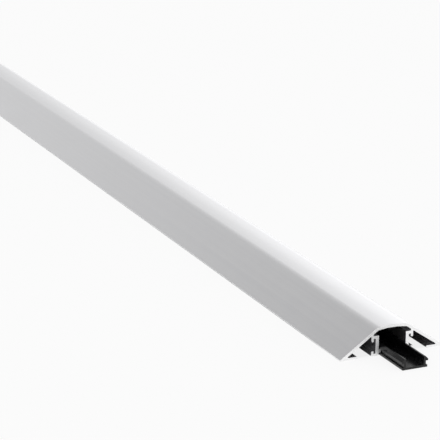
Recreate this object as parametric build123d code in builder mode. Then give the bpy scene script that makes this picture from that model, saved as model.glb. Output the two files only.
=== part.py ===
from build123d import *
from math import atan2, hypot, sin, tan
import os

# Floor cable protector: an extruded aluminium cover with two sloping sides and a
# gently arched crown, and a black plastic base channel that snaps between its legs.
# +X runs along the stock, towards the end where the base stands out of the cover.
# Y is across and +Z is up. The origin is on the floor, at the middle of the whole.

# Stock
stock_length = 1000.0  # both strips are cut to this
base_reach = 30.0  # how far the base stands out of the cover's end

# Cover: outer form
cover_width = 75.0
cover_height = 20.0
crown_width = 22.0  # across the arched crown, from crease to crease
crown_rise = 1.0  # from the creases to the middle of the crown
skin_thickness = 2.0
foot_edge = 0.8  # height of the blunt outer edge that meets the floor
crease_radius = 10.0  # the soft turn from the crown into a slope
foot_radius = 0.3

# Cover: what stands inside the skin
foot_flange_width = 12.2  # from the outer edge inwards, flat on the floor
foot_flange_thickness = 1.5
ledge_height = 13.6  # top of the two ledges that tie the legs to the skin
ledge_thickness = 2.0
leg_gap = 19.6  # clear width between the two legs
leg_thickness = 2.3
slot_width = 1.4  # the slot beside a leg that takes a joining strip
rib_thickness = 1.7  # the hanging rib and the lip that close the slot's far side
rib_bottom = 9.6  # height of the lower edge of the hanging rib
toe_thickness = 1.6  # the flange at the foot of a leg, turned outwards
lip_height = 3.4  # top of the lip that turns up at the end of the toe
corner_radius = 0.4  # eases every corner inside the skin

# Base channel
base_edge_width = 18.0  # across the bottom strip that lies on the floor
base_thickness = 1.6
groove_width = 15.8  # outside width of the walls, at the snap grooves
groove_height = 2.7  # clear height of a snap groove
barb_width = 19.0  # across the points of the barbs
barb_edge = 1.2  # height of the blunt point of a barb
wall_top_width = 15.0  # outside width of the walls at their top
wall_height = 7.5
wall_thickness = 1.5
base_corner_radius = 0.25

# Snap fit
snap_side_clearance = 0.4  # from a tongue's end to the bottom of its groove
snap_top_clearance = 0.3  # from a tongue's top to the barb above it

# Places that follow from the sizes above
cover_start = -(stock_length + base_reach) / 2
base_start = cover_start + base_reach
shoulder_height = cover_height - crown_rise
slope = atan2(shoulder_height - foot_edge, (cover_width - crown_width) / 2)
crown_radius = ((crown_width / 2) ** 2 + crown_rise**2) / (2 * crown_rise)
crown_center = cover_height - crown_radius
leg_inner = leg_gap / 2
leg_outer = leg_inner + leg_thickness
rib_inner = leg_outer + slot_width
rib_outer = rib_inner + rib_thickness
ledge_bottom = ledge_height - ledge_thickness
tongue_tip = groove_width / 2 + snap_side_clearance
tongue_bottom = base_thickness
tongue_top = base_thickness + groove_height - snap_top_clearance
barb_bottom = base_thickness + groove_height
wall_inner = groove_width / 2 - wall_thickness


def slope_y(height, depth):
    """Distance from the middle to the slope, at a height, a depth below its face."""
    return cover_width / 2 - (height - foot_edge) / tan(slope) - depth / sin(slope)


def slope_height(y, depth):
    """Height of the slope at a distance from the middle, a depth below its face."""
    return foot_edge + (slope_y(foot_edge, depth) - y) * tan(slope)


def under_slopes(depth, floor):
    """The space under both slopes and the crown, a depth below their outer faces."""
    with BuildSketch() as space:
        with BuildLine():
            foot_y = slope_y(floor, depth)
            Polyline(
                (-foot_y, floor), (0, slope_height(0, depth)), (foot_y, floor), close=True
            )
        make_face()
        with Locations((0, crown_center)):
            Circle(crown_radius - depth, mode=Mode.INTERSECT)
    return space.sketch


def under_skin(corner):
    """Whether a corner of the section lies deeper than the middle of the skin."""
    under_slope = abs(corner.X) < slope_y(corner.Y, skin_thickness / 2)
    crown_distance = hypot(corner.X, corner.Y - crown_center)
    return under_slope and crown_distance < crown_radius - skin_thickness / 2


def bar(inner, outer, bottom, top):
    """A rectangle of the section, given by its two sides, its bottom and its top."""
    with Locations((inner, bottom)):
        Rectangle(outer - inner, top - bottom, align=(Align.MIN, Align.MIN))


outer_form = under_slopes(0, 0)
hollow = under_slopes(skin_thickness, foot_flange_thickness)

with BuildSketch() as inside_right:
    # The rib ends inside the skin, half way between its inner and its outer face
    rib_top = (slope_height(rib_inner, skin_thickness) + slope_height(rib_outer, 0)) / 2
    bar(leg_inner, rib_outer, ledge_bottom, ledge_height)
    bar(rib_inner, rib_outer, rib_bottom, rib_top)
    bar(leg_inner, leg_outer, 0, ledge_height)
    bar(leg_inner, rib_outer, 0, toe_thickness)
    bar(rib_inner, rib_outer, 0, lip_height)
    bar(tongue_tip, leg_outer, tongue_bottom, tongue_top)

with BuildPart() as cover_profile:
    with BuildSketch(Plane.YZ.offset(cover_start)) as cover_section:
        add(outer_form)
        Rectangle(
            cover_width, cover_height, align=(Align.CENTER, Align.MIN), mode=Mode.INTERSECT
        )
        feet = cover_section.vertices().group_by(Axis.X)
        fillet(feet[0] + feet[-1], foot_radius)
        creases = cover_section.vertices().group_by(Axis.Y)[-1]
        fillet(creases, crease_radius)
        add(hollow, mode=Mode.SUBTRACT)
        # The floor is open from one foot flange to the other
        Rectangle(
            cover_width - 2 * foot_flange_width,
            foot_flange_thickness,
            align=(Align.CENTER, Align.MIN),
            mode=Mode.SUBTRACT,
        )
        add(inside_right.sketch)
        mirror(inside_right.sketch, about=Plane.YZ)
        fillet(cover_section.vertices().filter_by(under_skin), corner_radius)
    extrude(amount=stock_length)

with BuildPart() as base_channel:
    with BuildSketch(Plane.YZ.offset(base_start)) as base_section:
        with BuildLine():
            Polyline(
                (0, 0),
                (base_edge_width / 2, 0),
                (base_edge_width / 2, base_thickness),
                (groove_width / 2, base_thickness),
                (groove_width / 2, barb_bottom),
                (barb_width / 2, barb_bottom),
                (barb_width / 2, barb_bottom + barb_edge),
                (wall_top_width / 2, wall_height),
                (wall_inner, wall_height),
                (wall_inner, base_thickness),
                (0, base_thickness),
                close=True,
            )
        make_face()
        mirror(about=Plane.YZ)
        fillet(base_section.vertices(), base_corner_radius)
    extrude(amount=stock_length)

os.makedirs("parts", exist_ok=True)
cover_profile.part.label = "cover_profile"
export_step(cover_profile.part, "parts/cover_profile.step")
base_channel.part.label = "base_channel"
export_step(base_channel.part, "parts/base_channel.step")
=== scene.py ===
# %% [markdown]
# A floor cable protector is two long extrusions that click together. The silver cover is
# aluminium with two sloping sides and a gently arched crown. The black plastic base
# channel lies on the floor between the cover's legs and stands out a little at one end.
# Both shapes come finished from the frame, so this lesson is about what a shape can't
# give: satin anodised metal, sawn ends, extruded plastic, and the light that shows them.

# %% Load the frame
import math

import bpy
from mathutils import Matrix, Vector


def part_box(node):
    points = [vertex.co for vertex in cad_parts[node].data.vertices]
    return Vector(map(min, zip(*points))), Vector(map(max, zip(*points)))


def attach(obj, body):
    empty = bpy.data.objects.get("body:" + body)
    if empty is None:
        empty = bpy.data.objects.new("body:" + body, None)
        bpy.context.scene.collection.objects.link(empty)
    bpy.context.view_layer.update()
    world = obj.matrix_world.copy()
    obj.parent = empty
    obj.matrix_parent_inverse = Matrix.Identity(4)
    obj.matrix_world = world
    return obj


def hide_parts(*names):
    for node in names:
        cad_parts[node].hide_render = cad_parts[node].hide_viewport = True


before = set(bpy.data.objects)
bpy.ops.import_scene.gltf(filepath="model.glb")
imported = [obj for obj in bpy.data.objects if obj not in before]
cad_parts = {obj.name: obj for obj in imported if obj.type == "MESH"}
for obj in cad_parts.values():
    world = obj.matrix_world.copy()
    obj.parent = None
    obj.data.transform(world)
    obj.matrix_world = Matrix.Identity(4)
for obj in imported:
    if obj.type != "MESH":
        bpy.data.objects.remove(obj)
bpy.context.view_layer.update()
cover_low, cover_high = (Vector(corner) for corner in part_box("cover_profile"))
base_low, base_high = (Vector(corner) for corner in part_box("base_channel"))
print("cover from", cover_low, "to", cover_high)
print("base from", base_low, "to", base_high)

# %% [markdown]
# The photograph looks along the cover from a little above its cut end. The long edges
# run towards one vanishing point, and the cut end shows how wide and how high the section
# looks. Together they give the lens, the bearing and the camera's place, which are held
# here as real sizes from the cover's cut end. No shift is needed.

# %% The camera
PHOTO_SIDE = 440
SENSOR_WIDTH = 36.0
FOCAL_PIXELS = 1857.7
CAMERA_AZIMUTH = 66.4
CAMERA_ELEVATION = 16.69
CAMERA_FROM_CUT_END = Vector((0.9858, -0.5519, 0.4269))
NEAREST_SEEN = 0.01


def aim(azimuth, elevation):
    """The rotation of a camera or lamp that looks along a bearing and down by an angle."""
    turn = math.radians(azimuth)
    down = math.radians(elevation)
    level = math.cos(down)
    ahead = Vector((-math.sin(turn) * level, math.cos(turn) * level, -math.sin(down)))
    return ahead.to_track_quat("-Z", "Y").to_euler()


bpy.ops.object.camera_add(
    location=Vector((cover_high.x, 0.0, 0.0)) + CAMERA_FROM_CUT_END,
    rotation=aim(CAMERA_AZIMUTH, CAMERA_ELEVATION),
)
camera = bpy.context.object
camera.name = "photo_camera"
camera.data.sensor_width = SENSOR_WIDTH
camera.data.lens = SENSOR_WIDTH * FOCAL_PIXELS / PHOTO_SIDE
camera.data.clip_start = NEAREST_SEEN
bpy.context.scene.camera = camera
print("lens", round(camera.data.lens, 1), "mm")

# %% [markdown]
# The frame's solids have the right shape, but their meshes are loose triangles: the arched
# crown is a few flat strips and the sawn ends are fans of slivers. A smoother piece could be
# drawn anew from the section, but then its size could drift from the solid's. So each solid
# is copied, its doubled points are merged and its flat faces are joined again, and the copy
# is finished as the real strip is: the saw's sharp edge is broken by a hair.

# %% Merge a copy of a solid
MERGE_DISTANCE = 0.000001
FLAT_ANGLE = math.radians(0.3)
SMOOTH_ANGLE = math.radians(50)
BROKEN_EDGE = 0.00012
BROKEN_EDGE_STEPS = 2
END_TOLERANCE = 0.00001
FACING_ALONG = 0.5


def merged_copy(node_name, name):
    """A solid's mesh as a new object, with its triangles joined into whole faces."""
    bpy.ops.object.select_all(action="DESELECT")
    piece = bpy.data.objects.new(name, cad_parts[node_name].data.copy())
    piece.data.name = name
    bpy.context.scene.collection.objects.link(piece)
    bpy.context.view_layer.objects.active = piece
    piece.select_set(True)
    if piece.data.has_custom_normals:
        bpy.ops.mesh.customdata_custom_splitnormals_clear()
    bpy.ops.object.mode_set(mode="EDIT")
    bpy.ops.mesh.select_mode(type="VERT")
    bpy.ops.mesh.select_all(action="SELECT")
    bpy.ops.mesh.remove_doubles(threshold=MERGE_DISTANCE)
    bpy.ops.mesh.dissolve_limited(angle_limit=FLAT_ANGLE)
    bpy.ops.mesh.select_all(action="SELECT")
    bpy.ops.mesh.normals_make_consistent(inside=False)
    bpy.ops.object.mode_set(mode="OBJECT")
    return piece


# %% Break the sawn edges and smooth the curves
def break_sawn_edges(piece):
    """A hair of a chamfer round both sawn ends."""
    ends = [min(v.co.x for v in piece.data.vertices), max(v.co.x for v in piece.data.vertices)]
    bpy.ops.object.mode_set(mode="EDIT")
    bpy.ops.mesh.select_mode(type="EDGE")
    bpy.ops.mesh.select_all(action="DESELECT")
    bpy.ops.object.mode_set(mode="OBJECT")
    points = piece.data.vertices
    for edge in piece.data.edges:
        places = [points[number].co.x for number in edge.vertices]
        edge.select = any(all(abs(place - end) < END_TOLERANCE for place in places) for end in ends)
    bpy.ops.object.mode_set(mode="EDIT")
    bpy.ops.mesh.bevel(offset=BROKEN_EDGE, segments=BROKEN_EDGE_STEPS, affect="EDGES")
    bpy.ops.object.mode_set(mode="OBJECT")


def smooth_curves(piece):
    """Smooth shading on the curved strips, with the wide flat faces left flat."""
    bpy.ops.object.shade_smooth_by_angle(angle=SMOOTH_ANGLE)
    weights = piece.modifiers.new("weights", "WEIGHTED_NORMAL")
    weights.keep_sharp = True
    bpy.ops.object.modifier_apply(modifier=weights.name)


def finish_strip(node_name, name, long_finish, sawn_finish):
    """A strip with one finish along it and another on its sawn ends."""
    piece = merged_copy(node_name, name)
    break_sawn_edges(piece)
    smooth_curves(piece)
    piece.data.materials.clear()
    piece.data.materials.append(long_finish)
    piece.data.materials.append(sawn_finish)
    for face in piece.data.polygons:
        face.material_index = int(abs(face.normal.x) > FACING_ALONG)
    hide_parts(node_name)
    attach(piece, "root")
    print(name, "has", len(piece.data.polygons), "faces and", len(piece.data.vertices), "points")
    return piece


# %% [markdown]
# Shader maths reads best as plain expressions. This small class wraps one socket of a
# node tree, so that 1 - mask or streaks * 0.2 adds the Math node that does it. Any other
# node comes from one method, which sets the node's own settings first and its sockets next.


# %% A socket that can be added and multiplied
class Value:
    """One output socket of a node tree, with operators that add Math nodes."""

    def __init__(self, tree, socket=None):
        self.tree = tree
        self.socket = socket

    def node(self, kind, settings=None, sockets=None, output=0):
        """Add a node, set its settings and then its sockets, and wrap one of its outputs."""
        made = self.tree.nodes.new(kind)
        for name, setting in (settings or {}).items():
            setattr(made, name, setting)
        for key, value in (sockets or {}).items():
            if isinstance(value, Value):
                self.tree.links.new(value.socket, made.inputs[key])
            else:
                made.inputs[key].default_value = value
        return Value(self.tree, made.outputs[output]) if made.outputs else made

    def maths(self, operation, *terms):
        """A Math node on the terms alone: where this value is a term, it is named as one."""
        return self.node("ShaderNodeMath", {"operation": operation}, dict(enumerate(terms)))

    def __add__(self, other):
        return self.maths("ADD", self, other)

    def __sub__(self, other):
        return self.maths("SUBTRACT", self, other)

    def __rsub__(self, other):
        return self.maths("SUBTRACT", other, self)

    def __mul__(self, other):
        return self.maths("MULTIPLY", self, other)

    __radd__ = __add__
    __rmul__ = __mul__

    def absolute(self):
        return self.maths("ABSOLUTE", self)

    def below(self, limit):
        """1 where this value is below a limit, and 0 elsewhere."""
        return self.maths("LESS_THAN", self, limit)

    def at_most(self, limit):
        return self.maths("MINIMUM", self, limit)

    def stretched(self, x, y, z):
        """This vector with each of its axes multiplied by a number of its own."""
        return self.node("ShaderNodeMapping", {}, {"Vector": self, "Scale": (x, y, z)})

    def noise(self, scale, detail=2.0, roughness=0.5):
        """Noise at this vector, mostly from 0.3 to 0.7."""
        sockets = {"Vector": self, "Scale": scale, "Detail": detail, "Roughness": roughness}
        return self.node("ShaderNodeTexNoise", {}, sockets)

    def ranged(self, low, high, to_low=0.0, to_high=1.0):
        """This value moved evenly from one range to another, and kept inside it."""
        sockets = {0: self, 1: low, 2: high, 3: to_low, 4: to_high}
        return self.node("ShaderNodeMapRange", {}, sockets)

    def colour(self, when_zero, when_one):
        """A colour between two, by this value. Sockets 6 and 7 take the Mix node's colours."""
        sockets = {"Factor": self, 6: (*when_zero, 1.0), 7: (*when_one, 1.0)}
        return self.node("ShaderNodeMix", {"data_type": "RGBA"}, sockets, output=2)


def new_finish(name):
    """An empty material, and a Value for adding nodes to it."""
    finish = bpy.data.materials.new(name)
    finish.use_nodes = True
    finish.node_tree.nodes.clear()
    return finish, Value(finish.node_tree)


def object_points(nodes):
    """The place on the object, in metres, in the frame's own axes."""
    return nodes.node("ShaderNodeTexCoord", output="Object")


def bumped(nodes, height, depth):
    """A normal that follows a height from 0 to 1, as deep as depth in metres."""
    return nodes.node("ShaderNodeBump", {}, {"Height": height, "Strength": 1.0, "Distance": depth})


def even_mix(one, other):
    """The mean of two values."""
    return one * 0.5 + other * 0.5


def surface(nodes, **sockets):
    """The Principled shader and the output, with the sockets named as in the shader."""
    named = {key.replace("_", " "): value for key, value in sockets.items()}
    shader = nodes.node("ShaderNodeBsdfPrincipled", {}, named)
    nodes.node("ShaderNodeOutputMaterial", {}, {"Surface": shader})


# %% [markdown]
# The cover's skin is etched and then anodised, which leaves a satin silver metal. It
# mirrors only broad patches of light. Up close the die that it was pressed through shows as
# very fine lines along the strip, and the etch as a faint unevenness of tone. An image of
# brushed metal would repeat along a metre of strip, so stretched noise is used: squeezed
# across the strip and drawn out along it, once fine for the bump and once wide for the tone.

# %% Satin anodised aluminium
ANODISED_DARK = (0.77, 0.77, 0.785)
ANODISED_LIGHT = (0.83, 0.83, 0.84)
ANODISED_ROUGHNESS = (0.34, 0.42)
PER_MM = 1000.0
LINE_LENGTHS = 6.0  # how many times a line's tone changes in a metre
FINE_LINES = 3.0  # noise scale of the die lines in the bump, across the strip
WIDE_LINES = 0.35  # and of those in the tone
WIDE_LINES_SHARE = 0.6  # of the tone, and the etch gives the rest
ETCH_GRAIN = 45.0
NOISE_MIDDLE = (0.3, 0.7)  # where most of a noise's values lie
DIE_LINE_DEPTH = 0.000004


def satin_anodised():
    finish, nodes = new_finish("satin_anodised_aluminium")
    points = object_points(nodes)
    lines = points.stretched(LINE_LENGTHS, PER_MM, PER_MM)
    fine_lines = lines.noise(FINE_LINES, detail=3.0)
    wide_lines = lines.noise(WIDE_LINES, detail=4.0, roughness=0.6)
    etch = points.noise(ETCH_GRAIN, detail=5.0, roughness=0.6)
    tone = wide_lines * WIDE_LINES_SHARE + etch * (1 - WIDE_LINES_SHARE)
    surface(
        nodes,
        Base_Color=tone.ranged(*NOISE_MIDDLE).colour(ANODISED_DARK, ANODISED_LIGHT),
        Metallic=1.0,
        Roughness=even_mix(wide_lines, etch).ranged(*NOISE_MIDDLE, *ANODISED_ROUGHNESS),
        Normal=bumped(nodes, fine_lines, DIE_LINE_DEPTH),
    )
    return finish


# %% [markdown]
# Both ends are sawn after anodising, so they show bare, bright metal. A circular saw sweeps
# down through the section and leaves arcs about its own centre. Rings of noise do it: the
# distance from the saw's centre goes into a noise of one dimension.

# %% Sawn aluminium
SAW_CENTRE = (0.0, 0.035, 0.14)  # across and up from the middle of the floor line
SAWN_DARK = (0.93, 0.93, 0.935)
SAWN_LIGHT = (0.98, 0.98, 0.98)
SAWN_METAL = 0.8  # below 1, because the torn surface also scatters light every way
SAWN_ROUGHNESS = (0.42, 0.55)
SAW_MARKS_PER_METRE = 2600.0
SAW_MARK_LEVELS = (0.25, 0.75)  # the noise levels that become a mark's lowest and highest
SAW_MARK_DEPTH = 0.000006


def saw_arcs(nodes):
    """Uneven rings about the saw's centre, from 0 to 1."""
    points = object_points(nodes)
    flat = points.stretched(0.0, 1.0, 1.0)
    both = {0: flat, 1: SAW_CENTRE}
    away = nodes.node("ShaderNodeVectorMath", {"operation": "DISTANCE"}, both, output=1)
    sockets = {"W": away, "Scale": SAW_MARKS_PER_METRE, "Detail": 3.0}
    rings = nodes.node("ShaderNodeTexNoise", {"noise_dimensions": "1D"}, sockets)
    return rings.ranged(*SAW_MARK_LEVELS)


def sawn_aluminium():
    finish, nodes = new_finish("sawn_aluminium")
    arcs = saw_arcs(nodes)
    surface(
        nodes,
        Base_Color=arcs.colour(SAWN_DARK, SAWN_LIGHT),
        Metallic=SAWN_METAL,
        Roughness=arcs.ranged(0.0, 1.0, *SAWN_ROUGHNESS),
        Normal=bumped(nodes, arcs, SAW_MARK_DEPTH),
    )
    return finish


# %% [markdown]
# The base is a rigid black plastic, extruded too. Its skin is smooth with a low gloss and
# faint lines from its own die, and the saw leaves its ends a little duller and greyer.

# %% Black plastic, along the strip and sawn
PLASTIC_DARK = (0.003, 0.003, 0.0032)
PLASTIC_LIGHT = (0.006, 0.006, 0.0064)
SAWN_PLASTIC_DARK = (0.009, 0.009, 0.009)
SAWN_PLASTIC_LIGHT = (0.018, 0.018, 0.018)
PLASTIC_ROUGHNESS = (0.2, 0.28)
SAWN_PLASTIC_ROUGHNESS = (0.5, 0.65)
PLASTIC_GLOSS = 0.35
PLASTIC_LINES = 0.8  # noise scale of the die lines, across the strip
PLASTIC_HAZE = 90.0
PLASTIC_TONE_LEVELS = (0.35, 0.65)  # the noise levels that become the two blacks
PLASTIC_LINE_DEPTH = 0.000008


def extruded_plastic():
    finish, nodes = new_finish("black_extruded_plastic")
    points = object_points(nodes)
    lines = points.stretched(LINE_LENGTHS, PER_MM, PER_MM)
    wide_lines = lines.noise(PLASTIC_LINES, detail=3.0)
    haze = points.noise(PLASTIC_HAZE, detail=4.0, roughness=0.6)
    tone = even_mix(wide_lines, haze).ranged(*PLASTIC_TONE_LEVELS)
    surface(
        nodes,
        Base_Color=tone.colour(PLASTIC_DARK, PLASTIC_LIGHT),
        Roughness=haze.ranged(*NOISE_MIDDLE, *PLASTIC_ROUGHNESS),
        Specular_IOR_Level=PLASTIC_GLOSS,
        Normal=bumped(nodes, wide_lines, PLASTIC_LINE_DEPTH),
    )
    return finish


def sawn_plastic():
    finish, nodes = new_finish("black_sawn_plastic")
    arcs = saw_arcs(nodes)
    surface(
        nodes,
        Base_Color=arcs.colour(SAWN_PLASTIC_DARK, SAWN_PLASTIC_LIGHT),
        Roughness=arcs.ranged(0.0, 1.0, *SAWN_PLASTIC_ROUGHNESS),
        Specular_IOR_Level=PLASTIC_GLOSS,
        Normal=bumped(nodes, arcs, SAW_MARK_DEPTH),
    )
    return finish


# %% The two strips
cover_piece = finish_strip("cover_profile", "aluminium_cover", satin_anodised(), sawn_aluminium())
base_piece = finish_strip("base_channel", "plastic_base", extruded_plastic(), sawn_plastic())

# %% [markdown]
# The strips lie on a plain white sheet that reaches past the frame. A diffuse white floor
# alone would render light grey, and more light on it would bleach the metal. So what the
# eye, a mirror or glass sees of it is mostly pure white, and the rest still takes a shadow.
# Under the cover the real sheet lies in the dark, and a floor that gives off white of its
# own would not. So its material works out how far in from the nearer cut end each point
# under the cover lies, and paints the sheet dark grey there, a painted shade: at once for
# what the inner walls mirror, and a few centimetres further in for the eye.

# %% The floor
FLOOR_SIDE = 24.0
FLOOR_WHITE = (0.9, 0.9, 0.9)
# The dark grey below is painted shade: the colour the sheet itself takes under the cover.
FLOOR_PAINTED_SHADE = (0.1, 0.1, 0.1)
FLOOR_PURE_SHARE = 0.84
PAINTED_SHADE_FROM = (0.0, 0.003)
EYE_DARK_FROM = (0.018, 0.05)


def light_path(nodes):
    """For each kind of ray, a Value that is 1 for that kind."""
    path = nodes.tree.nodes.new("ShaderNodeLightPath")
    kinds = ("Camera", "Glossy", "Transmission")
    return {kind: Value(nodes.tree, path.outputs[f"Is {kind} Ray"]) for kind in kinds}


def depth_under_cover(nodes):
    """How far in from the nearer cut end a point under the cover is, or 0 beside it."""
    middle = (cover_low.x + cover_high.x) / 2
    half_length = (cover_high.x - cover_low.x) / 2
    place = nodes.node("ShaderNodeTexCoord", output="Object")
    axes = [place.node("ShaderNodeSeparateXYZ", {}, {0: place}, output=axis) for axis in (0, 1)]
    along = half_length - (axes[0] - middle).absolute()
    return along * axes[1].absolute().below(cover_high.y)


bpy.ops.mesh.primitive_plane_add(size=FLOOR_SIDE)
floor = bpy.context.object
floor.name = "white_floor"
floor_finish, nodes = new_finish("white_floor")
depth = depth_under_cover(nodes)
# Painted shade: under the cover the sheet's own colour turns dark grey, and mirrors there see no
# pure white.
painted_shade_mask = depth.ranged(*PAINTED_SHADE_FROM)
sheet = painted_shade_mask.colour(FLOOR_WHITE, FLOOR_PAINTED_SHADE)
matt = nodes.node("ShaderNodeBsdfDiffuse", {}, {"Color": sheet})
pure = nodes.node("ShaderNodeEmission", {}, {"Color": (1.0, 1.0, 1.0, 1.0), "Strength": 1.0})
rays = light_path(nodes)
eye = rays["Camera"] * (1 - depth.ranged(*EYE_DARK_FROM))
mirror = (rays["Glossy"] + rays["Transmission"]) * (1 - painted_shade_mask)
share = (eye + mirror).at_most(1.0) * FLOOR_PURE_SHARE
mixed = nodes.node("ShaderNodeMixShader", {}, {0: share, 1: matt, 2: pure})
nodes.node("ShaderNodeOutputMaterial", {}, {"Surface": mixed})
floor.data.materials.append(floor_finish)

# %% [markdown]
# Metal shows the room. This one is a studio with a long white wall beyond the strip's far
# side, which the crown mirrors from end to end, and a plainer white wall in front of the cut
# end, which lights the sawn faces. The other walls are dimmer and darken upwards, which the
# near slope mirrors, and the ceiling is pale again. The side behind the camera is darkest,
# so that the black plastic and the inner walls have something dark to mirror. The world is
# that room, as a level of white for each direction, and no wall is bright enough to bleach
# the metal from another side.

# %% The room
DIM_RISE = (0.2, 0.62)  # from the foot of the dim walls to their top, by the direction's Z
DIM_WHITE = (1.18, 0.4)
CEILING_FROM = (0.74, 0.96)
CEILING_WHITE = 0.7
SIDE_FROM = (-0.22, -0.42)  # where the side behind the camera falls into the dark, by Y
SIDE_SHARE = 0.35
SIDE_FOOT = (0.0, 0.15)
SIDE_TOP = (0.6, 0.8)
LONG_WALL_FROM = (-0.05, 0.22)  # where the long wall begins, by Y
LONG_WALL_TOP = (0.45, 0.9)
LONG_WALL_ENDS = (0.28, 0.6)  # from its dimmer end to its brighter end, by Y
LONG_WALL_WHITE = (0.87, 1.5)
FRONT_WALL_FROM = (0.0, 0.3)  # where the front wall begins, by X
FRONT_WALL_TOP = (0.6, 0.95)
FRONT_WALL_RISE = (0.15, 0.5)  # from its duller foot to its lighter top, by Z
FRONT_WALL_WHITE = (0.92, 1.25)

world = bpy.data.worlds.new("studio_room")
world.use_nodes = True
world.node_tree.nodes.clear()
bpy.context.scene.world = world
nodes = Value(world.node_tree)
direction = nodes.node("ShaderNodeTexCoord", output="Generated")
along, across, rise = (
    direction.node("ShaderNodeSeparateXYZ", {}, {0: direction}, output=axis) for axis in range(3)
)
side = across.ranged(*SIDE_FROM) * rise.ranged(*SIDE_FOOT) * (1 - rise.ranged(*SIDE_TOP))
level = rise.ranged(*DIM_RISE, *DIM_WHITE) * (1 - side * (1 - SIDE_SHARE))
level = level + rise.ranged(*CEILING_FROM) * (CEILING_WHITE - level)
long_wall = across.ranged(*LONG_WALL_FROM) * (1 - rise.ranged(*LONG_WALL_TOP))
level = level + long_wall * (across.ranged(*LONG_WALL_ENDS, *LONG_WALL_WHITE) - level)
front_wall = along.ranged(*FRONT_WALL_FROM) * (1 - rise.ranged(*FRONT_WALL_TOP))
level = level + front_wall * (rise.ranged(*FRONT_WALL_RISE, *FRONT_WALL_WHITE) - level)
room = nodes.node("ShaderNodeBackground", {}, {"Color": (1.0, 1.0, 1.0, 1.0), "Strength": level})
nodes.node("ShaderNodeOutputWorld", {}, {"Surface": room})

# %% [markdown]
# One wide soft box hangs overhead and gives the floor its faint shadows. It is large and
# weak, because a small strong lamp would show in the satin metal as a white patch.

# %% The lamp
LAMP_PLACE = (0.6, -0.3, 2.6)
LAMP_TARGET = Vector((0.3, 0.0, 0.0))
LAMP_SIDE = 2.4
LAMP_WATTS = 6.0


def soft_box(name, place, side, watts):
    """A large square lamp at a place, turned towards the strip."""
    bpy.ops.object.light_add(type="AREA", location=place)
    lamp = bpy.context.object
    lamp.name = name
    lamp.data.shape = "RECTANGLE"
    lamp.data.size = side
    lamp.data.size_y = side
    lamp.data.energy = watts
    lamp.rotation_euler = (LAMP_TARGET - Vector(place)).to_track_quat("-Z", "Y").to_euler()
    print(name, "gives", watts, "W from", place)


soft_box("overhead_box", LAMP_PLACE, LAMP_SIDE, LAMP_WATTS)

# %% [markdown]
# Standard view keeps the colours as they are written.

# %% The view
bpy.context.scene.view_settings.view_transform = "Standard"
